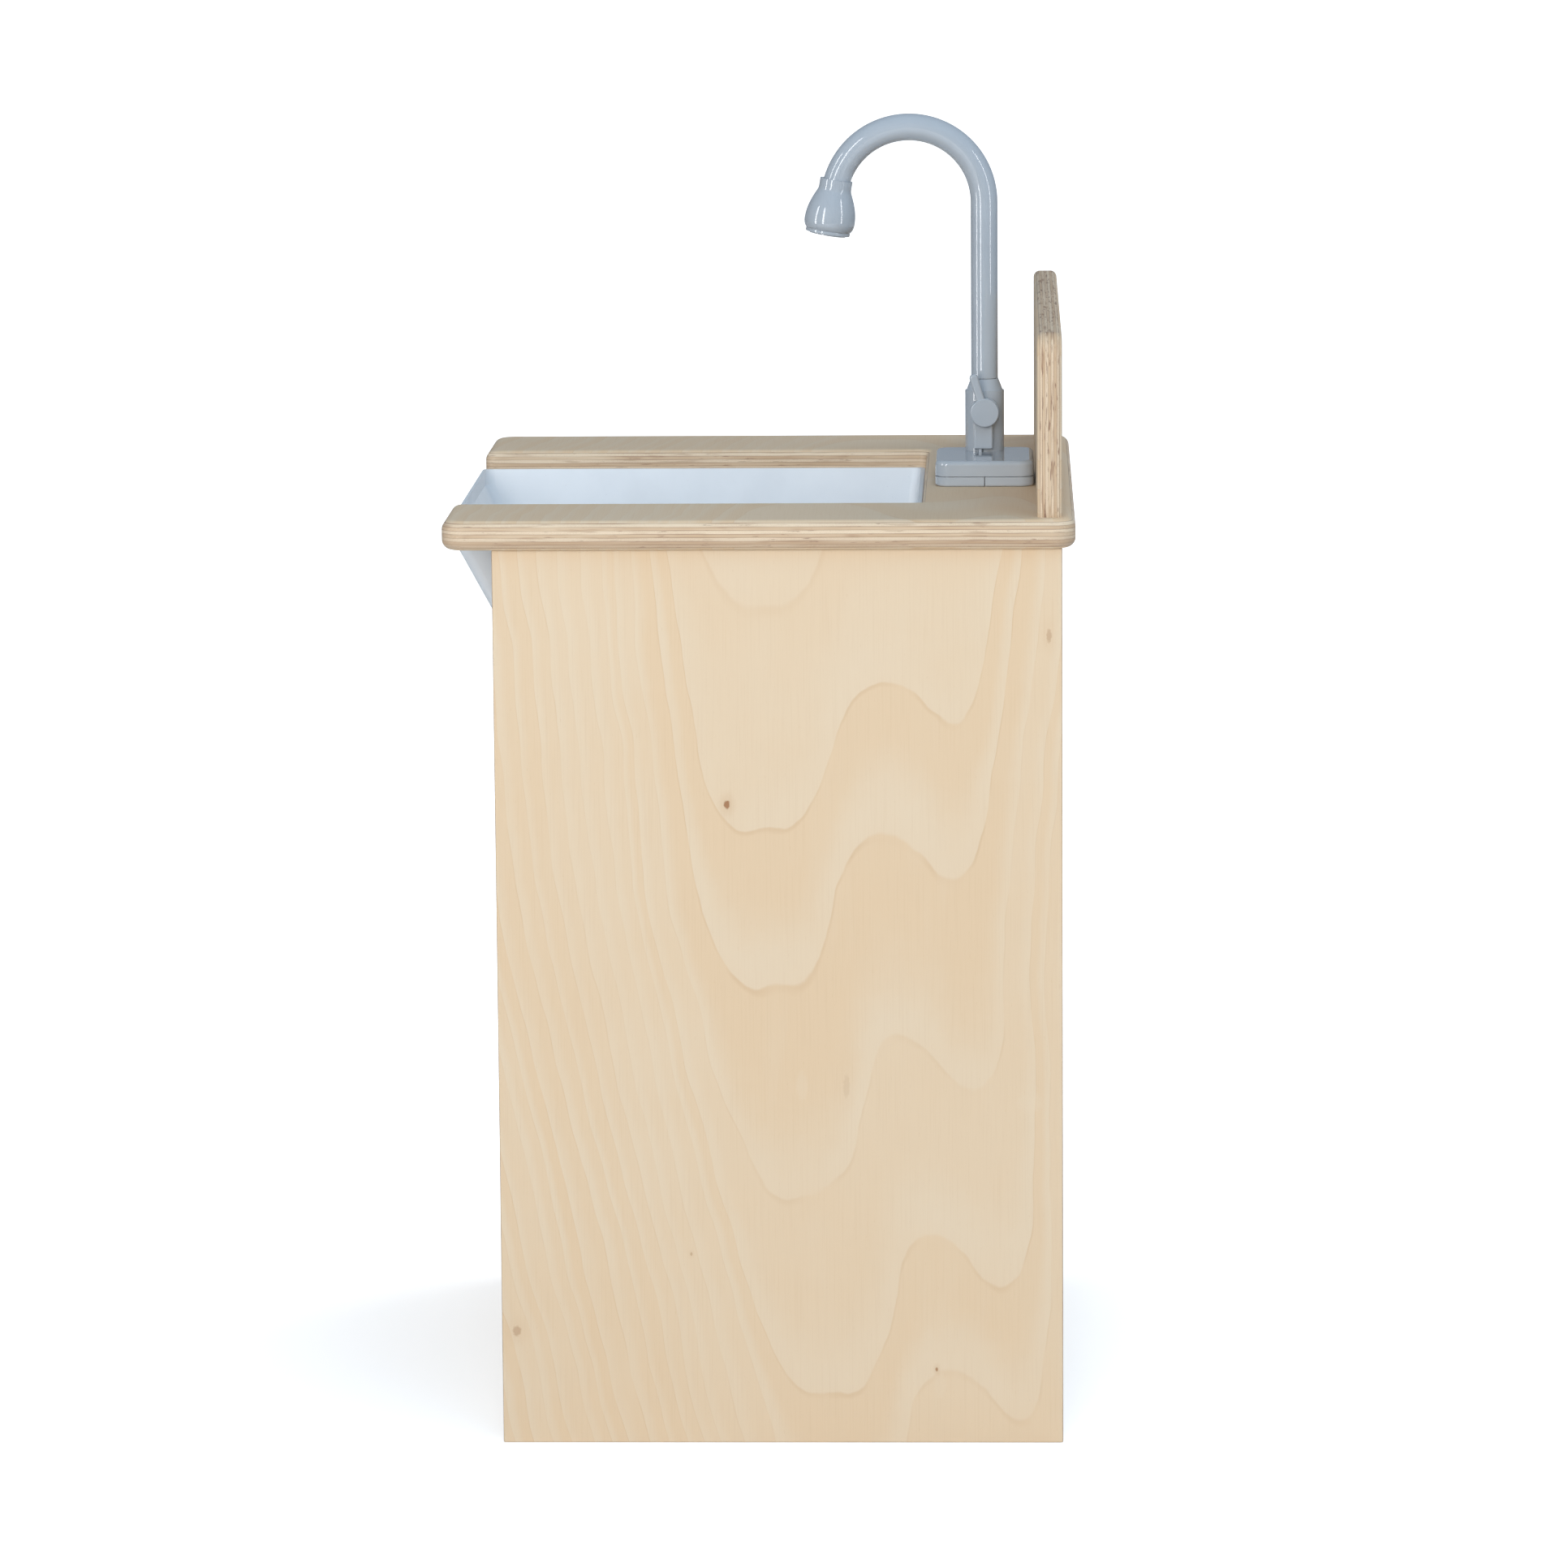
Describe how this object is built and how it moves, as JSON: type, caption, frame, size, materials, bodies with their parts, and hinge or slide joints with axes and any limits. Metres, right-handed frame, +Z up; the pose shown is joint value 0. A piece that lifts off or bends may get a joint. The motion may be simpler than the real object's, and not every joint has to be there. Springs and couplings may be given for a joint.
{
  "type": "toy kitchen",
  "caption": "Plywood play kitchen: open-front cabinet with shelves, U-shaped worktop, lift-out basin, backsplash and a swivelling gooseneck tap with a lever.",
  "frame": {"origin": "on the floor, below the middle of the worktop", "axes": "+Z up, -Y towards the child who uses it, +X towards that child's right-hand side"},
  "size_m": [0.468, 0.3816, 0.7949],
  "materials": {
    "plywood": "clear satin lacquer over a pale face veneer, edges show the plies",
    "batten_wood": "planed softwood",
    "dowel_beech": "plain beech",
    "basin_plastic": "white, soft sheen",
    "tap_plastic": "glossy blue-grey",
    "outlet_plastic": "dark grey",
    "screw_steel": "zinc plated",
    "pin_steel": "plain",
    "seal_rubber": "plain"
  },
  "bodies": {
    "cabinet": {"left_side_panel": "plywood", "right_side_panel": "plywood", "back_panel": "plywood", "floor_panel": "plywood", "shelf": "plywood", "plinth": "plywood", "worktop": "plywood", "backsplash": "plywood", "left_top_cleat": "batten_wood", "right_top_cleat": "batten_wood", "rear_top_rail": "batten_wood", "left_basin_runner": "batten_wood", "right_basin_runner": "batten_wood", "rear_basin_runner": "batten_wood", "panel_dowels": "dowel_beech", "cam_bolts": "screw_steel", "cam_locks": "screw_steel", "cleat_screws": "screw_steel", "worktop_screws": "screw_steel", "runner_screws": "screw_steel", "backsplash_screws": "screw_steel", "back_panel_screws": "screw_steel", "tap_base_screws": "screw_steel", "base_cover_screws": "screw_steel", "tap_base_front_plate": "tap_plastic", "tap_base_rear_plate": "tap_plastic", "tap_base_cover": "tap_plastic", "tap_body": "tap_plastic", "tap_body_nut": "tap_plastic", "lever_housing": "tap_plastic"},
    "basin": {"basin": "basin_plastic"},
    "lever": {"lever_arm": "tap_plastic", "lever_shaft": "pin_steel", "lever_seal": "seal_rubber"},
    "spout": {"spout_tube": "tap_plastic", "spout_clip": "pin_steel", "spout_seal": "seal_rubber", "nozzle_shell": "tap_plastic", "nozzle_ring": "tap_plastic", "nozzle_plate": "outlet_plastic"}
  },
  "joints": [
    {"name": "basin_lift", "type": "slide", "parent": "cabinet", "child": "basin", "axis": [0, 0, 1], "range_m": [0, 0.12]},
    {"name": "lever_turn", "type": "hinge", "parent": "cabinet", "child": "lever", "pos_m": [0.017, 0.1352, 0.6092], "axis": [1, 0, 0], "range_deg": [-18, 72]},
    {"name": "spout_swivel", "type": "hinge", "parent": "cabinet", "child": "spout", "pos_m": [0, 0.1352, 0.62935], "axis": [0, 0, 1], "range_deg": [-90, 90]}
  ]
}
